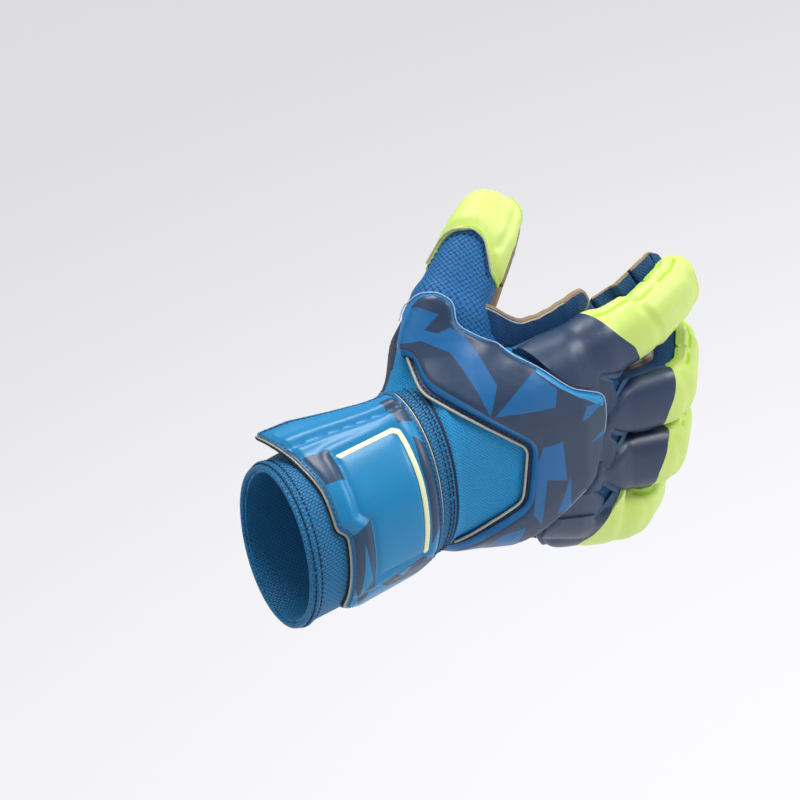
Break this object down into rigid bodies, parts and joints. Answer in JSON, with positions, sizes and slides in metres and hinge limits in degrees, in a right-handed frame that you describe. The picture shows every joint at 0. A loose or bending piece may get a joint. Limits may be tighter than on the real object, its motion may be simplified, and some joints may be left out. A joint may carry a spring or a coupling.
{
  "type": "goalkeeper glove",
  "caption": "Padded right-hand goalkeeper glove with latex palm, mesh backhand window, hinged digits, knitted cuff and wrap-round wrist strap.",
  "frame": {"origin": "centre of the cuff mouth, where the arm enters", "axes": "+X along the cuff towards the fingers, +Z towards the thumb side, -Y out of the back of the hand"},
  "size_m": [0.2459, 0.0759, 0.1813],
  "materials": {
    "knit_blue": "matte",
    "mesh_blue": "matte",
    "pad_navy": "satin",
    "latex_yellow": "matte",
    "latex_palm": "matte",
    "gusset_navy": "matte",
    "lining_black": "matte",
    "piping_cream": "satin",
    "binding_navy": "matte",
    "strap_blue": "satin",
    "strap_elastic": "matte",
    "trim_yellow": "satin",
    "hook_loop": "matte"
  },
  "bodies": {
    "cuff": {"cuff_knit": "knit_blue", "cuff_hem_binding": "binding_navy", "hand_seam_piping": "binding_navy", "loop_patch": "hook_loop", "strap_anchor_tab": "knit_blue"},
    "strap": {"strap_band": "strap_elastic", "strap_binding": "binding_navy", "strap_moulded_cover": "strap_blue", "strap_trim_line": "trim_yellow", "hook_patch": "hook_loop"},
    "hand": {"wrist_lining": "lining_black", "hand_lining": "lining_black", "backhand_pad": "pad_navy", "backhand_mesh": "mesh_blue", "window_piping": "piping_cream", "palm_panel": "latex_palm", "ulnar_gusset": "gusset_navy", "radial_gusset": "gusset_navy", "thumb_lobe_pad": "pad_navy", "thumb_base_palm": "latex_palm", "thumb_base_sleeve": "gusset_navy", "thumb_web": "mesh_blue"},
    "index_proximal": {"index_proximal_back": "pad_navy", "index_proximal_palm": "latex_palm", "index_proximal_sleeve": "gusset_navy"},
    "index_middle": {"index_middle_back": "latex_yellow", "index_middle_palm": "latex_palm", "index_middle_sleeve": "gusset_navy"},
    "index_tip": {"index_tip_back": "latex_yellow", "index_tip_palm": "latex_palm"},
    "middle_proximal": {"middle_proximal_back": "pad_navy", "middle_proximal_palm": "latex_palm", "middle_proximal_sleeve": "gusset_navy"},
    "middle_middle": {"middle_middle_back": "latex_yellow", "middle_middle_palm": "latex_palm", "middle_middle_sleeve": "gusset_navy"},
    "middle_tip": {"middle_tip_back": "latex_yellow", "middle_tip_palm": "latex_palm"},
    "ring_proximal": {"ring_proximal_back": "pad_navy", "ring_proximal_palm": "latex_palm", "ring_proximal_sleeve": "gusset_navy"},
    "ring_middle": {"ring_middle_back": "latex_yellow", "ring_middle_palm": "latex_palm", "ring_middle_sleeve": "gusset_navy"},
    "ring_tip": {"ring_tip_back": "latex_yellow", "ring_tip_palm": "latex_palm"},
    "little_proximal": {"little_proximal_back": "pad_navy", "little_proximal_palm": "latex_palm", "little_proximal_sleeve": "gusset_navy"},
    "little_middle": {"little_middle_back": "latex_yellow", "little_middle_palm": "latex_palm", "little_middle_sleeve": "gusset_navy"},
    "little_tip": {"little_tip_back": "latex_yellow", "little_tip_palm": "latex_palm"},
    "thumb_proximal": {"thumb_proximal_back": "mesh_blue", "thumb_proximal_palm": "latex_palm", "thumb_proximal_sleeve": "gusset_navy"},
    "thumb_tip": {"thumb_tip_back": "latex_yellow", "thumb_tip_palm": "latex_palm", "thumb_tip_sleeve": "gusset_navy"}
  },
  "joints": [
    {"name": "wrist_bend", "type": "hinge", "parent": "cuff", "child": "hand", "pos_m": [0.078, 0, 0], "axis": [0, 0, 1], "range_deg": [-15, 25]},
    {"name": "strap_open", "type": "hinge", "parent": "cuff", "child": "strap", "pos_m": [0.039, -0.00532, -0.03783], "axis": [1, 0, 0], "range_deg": [0, 110]},
    {"name": "index_knuckle", "type": "hinge", "parent": "hand", "child": "index_proximal", "pos_m": [0.17352, -0.01653, 0.0197], "axis": [-0.1536, 0.0298, 0.9877], "range_deg": [-18, 42]},
    {"name": "index_middle_bend", "type": "hinge", "parent": "index_proximal", "child": "index_middle", "pos_m": [0.19917, -0.01783, 0.02373], "axis": [-0.1627, -0.2801, 0.9461], "range_deg": [-12, 60]},
    {"name": "index_tip_bend", "type": "hinge", "parent": "index_middle", "child": "index_tip", "pos_m": [0.22409, -0.01306, 0.02943], "axis": [-0.1627, -0.2801, 0.9461], "range_deg": [-7.2, 36]},
    {"name": "middle_knuckle", "type": "hinge", "parent": "hand", "child": "middle_proximal", "pos_m": [0.17185, -0.01824, -0.00822], "axis": [0.1366, -0.0266, 0.9903], "range_deg": [-15, 45]},
    {"name": "middle_middle_bend", "type": "hinge", "parent": "middle_proximal", "child": "middle_middle", "pos_m": [0.20238, -0.02142, -0.01251], "axis": [0.0998, -0.3161, 0.9435], "range_deg": [-52, 22]},
    {"name": "middle_tip_bend", "type": "hinge", "parent": "middle_middle", "child": "middle_tip", "pos_m": [0.22174, -0.00042, -0.00752], "axis": [0.0998, -0.3161, 0.9435], "range_deg": [-26, 11]},
    {"name": "ring_knuckle", "type": "hinge", "parent": "hand", "child": "ring_proximal", "pos_m": [0.1632, -0.01554, -0.03385], "axis": [0.2706, -0.0526, 0.9613], "range_deg": [-16, 44]},
    {"name": "ring_middle_bend", "type": "hinge", "parent": "ring_proximal", "child": "ring_middle", "pos_m": [0.191, -0.01786, -0.0418], "axis": [0.2321, -0.3413, 0.9108], "range_deg": [-50, 30]},
    {"name": "ring_tip_bend", "type": "hinge", "parent": "ring_middle", "child": "ring_tip", "pos_m": [0.20984, 0.00133, -0.03941], "axis": [0.2321, -0.3413, 0.9108], "range_deg": [-25, 15]},
    {"name": "little_knuckle", "type": "hinge", "parent": "hand", "child": "little_proximal", "pos_m": [0.15066, -0.00801, -0.05787], "axis": [0.3677, -0.0715, 0.9272], "range_deg": [-20, 40]},
    {"name": "little_middle_bend", "type": "hinge", "parent": "little_proximal", "child": "little_middle", "pos_m": [0.1711, -0.00809, -0.06599], "axis": [0.3452, -0.3436, 0.8733], "range_deg": [-36, 44]},
    {"name": "little_tip_bend", "type": "hinge", "parent": "little_middle", "child": "little_tip", "pos_m": [0.18861, 0.00512, -0.06771], "axis": [0.3452, -0.3436, 0.8733], "range_deg": [-18, 22]},
    {"name": "thumb_knuckle", "type": "hinge", "parent": "hand", "child": "thumb_proximal", "pos_m": [0.12365, 0.01084, 0.06262], "axis": [-0.5782, 0.5267, 0.623], "range_deg": [-16, 34]},
    {"name": "thumb_tip_bend", "type": "hinge", "parent": "thumb_proximal", "child": "thumb_tip", "pos_m": [0.15058, 0.01694, 0.08245], "axis": [-0.5782, 0.5267, 0.623], "range_deg": [-22, 43]}
  ],
  "couplings": [
    {"joint": "index_tip_bend", "follows": "index_middle_bend", "ratio": 0.6},
    {"joint": "middle_tip_bend", "follows": "middle_middle_bend", "ratio": 0.5},
    {"joint": "ring_tip_bend", "follows": "ring_middle_bend", "ratio": 0.5},
    {"joint": "little_tip_bend", "follows": "little_middle_bend", "ratio": 0.5}
  ]
}
